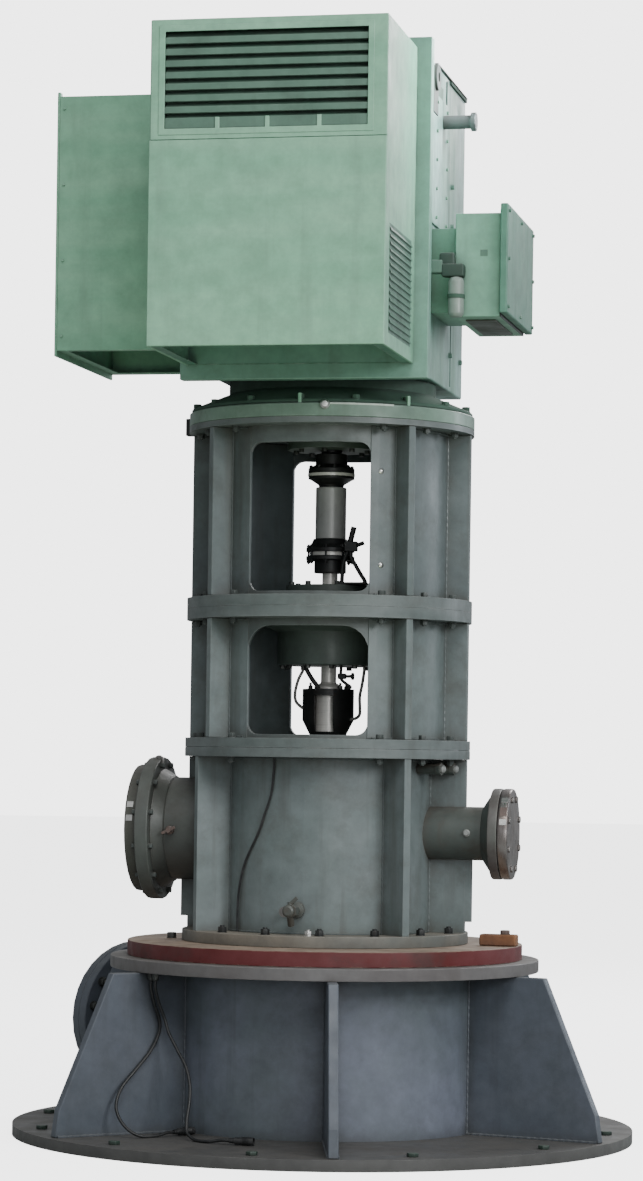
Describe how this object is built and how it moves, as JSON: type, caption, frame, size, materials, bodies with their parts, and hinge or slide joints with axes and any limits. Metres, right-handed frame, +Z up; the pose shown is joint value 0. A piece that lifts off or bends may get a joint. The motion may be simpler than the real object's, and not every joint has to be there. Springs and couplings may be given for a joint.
{
  "type": "vertical can pump with motor",
  "caption": "Vertical can pump: ribbed can on a round foundation plate, discharge head with blanked nozzles, windowed stools, spacer coupling and a hooded motor.",
  "frame": {"origin": "middle of the foundation plate's underside", "axes": "+Z up, -Y towards the motor's front hood and the front windows, +X towards the terminal box, -X towards the discharge nozzle"},
  "size_m": [2.4, 2.4, 4.1225],
  "materials": {
    "primer_grey": "matte blue-grey primer",
    "stool_grey": "satin grey-green paint",
    "plate_grey": "dusty warm grey",
    "flange_green": "worn grey-green paint",
    "motor_green": "semi-gloss pale green paint",
    "motor_dark": "dark green, in shade",
    "rusty_cover": "red oxide rim, bare top",
    "bare_steel": "bare machined steel",
    "dark_steel": "dark oily steel",
    "shaft_steel": "ground steel",
    "rust_orange": "orange rust",
    "canister_white": "pale satin",
    "lead_black": "dull black sheath"
  },
  "bodies": {
    "frame": {"base_plate": "plate_grey", "can_barrel": "primer_grey", "can_rib_1": "primer_grey", "can_rib_2": "primer_grey", "can_rib_3": "primer_grey", "can_rib_4": "primer_grey", "can_rib_5": "primer_grey", "can_rib_6": "primer_grey", "can_flange": "flange_green", "suction_nozzle": "dark_steel", "suction_blank": "dark_steel", "cover_plate": "rusty_cover", "jacking_lug": "rust_orange", "head_base_flange": "stool_grey", "head_body": "stool_grey", "head_top_flange": "stool_grey", "head_lead": "lead_black", "discharge_nozzle": "primer_grey", "discharge_blank": "bare_steel", "side_nozzle": "stool_grey", "side_blank": "bare_steel", "drain_cock": "dark_steel", "lower_stool_base": "stool_grey", "lower_stool_left": "stool_grey", "lower_stool_right": "stool_grey", "lower_stool_top": "stool_grey", "upper_stool_base": "stool_grey", "upper_stool_left": "stool_grey", "upper_stool_right": "stool_grey", "upper_stool_top": "stool_grey", "seal_housing": "dark_steel", "bearing_housing": "motor_dark", "motor_flange": "motor_green", "motor_cone": "motor_dark", "flange_key": "dark_steel", "motor_frame": "motor_green", "motor_front_plate": "motor_green", "front_hood_face": "motor_green", "front_hood_left": "motor_green", "front_hood_right": "motor_green", "front_hood_top": "motor_green", "front_louvre": "motor_dark", "side_hood_face": "motor_green", "side_hood_front": "motor_green", "side_hood_rear": "motor_green", "side_hood_top": "motor_green", "terminal_box": "motor_green", "terminal_box_lid": "motor_green", "lifting_trunnion": "motor_green", "canister": "canister_white", "lead_left": "lead_black", "lead_left_gland": "dark_steel", "lead_left_plug": "lead_black", "lead_right": "lead_black", "lead_right_gland": "dark_steel", "lead_right_plug": "lead_black"},
    "rotor": {"pump_shaft": "shaft_steel", "lower_coupling_hub": "dark_steel", "coupling_spacer": "shaft_steel", "upper_coupling_hub": "dark_steel"}
  },
  "joints": [
    {"name": "rotor_spin", "type": "hinge", "parent": "frame", "child": "rotor", "pos_m": [0, 0, 2.4], "axis": [0, 0, 1], "continuous": true}
  ]
}
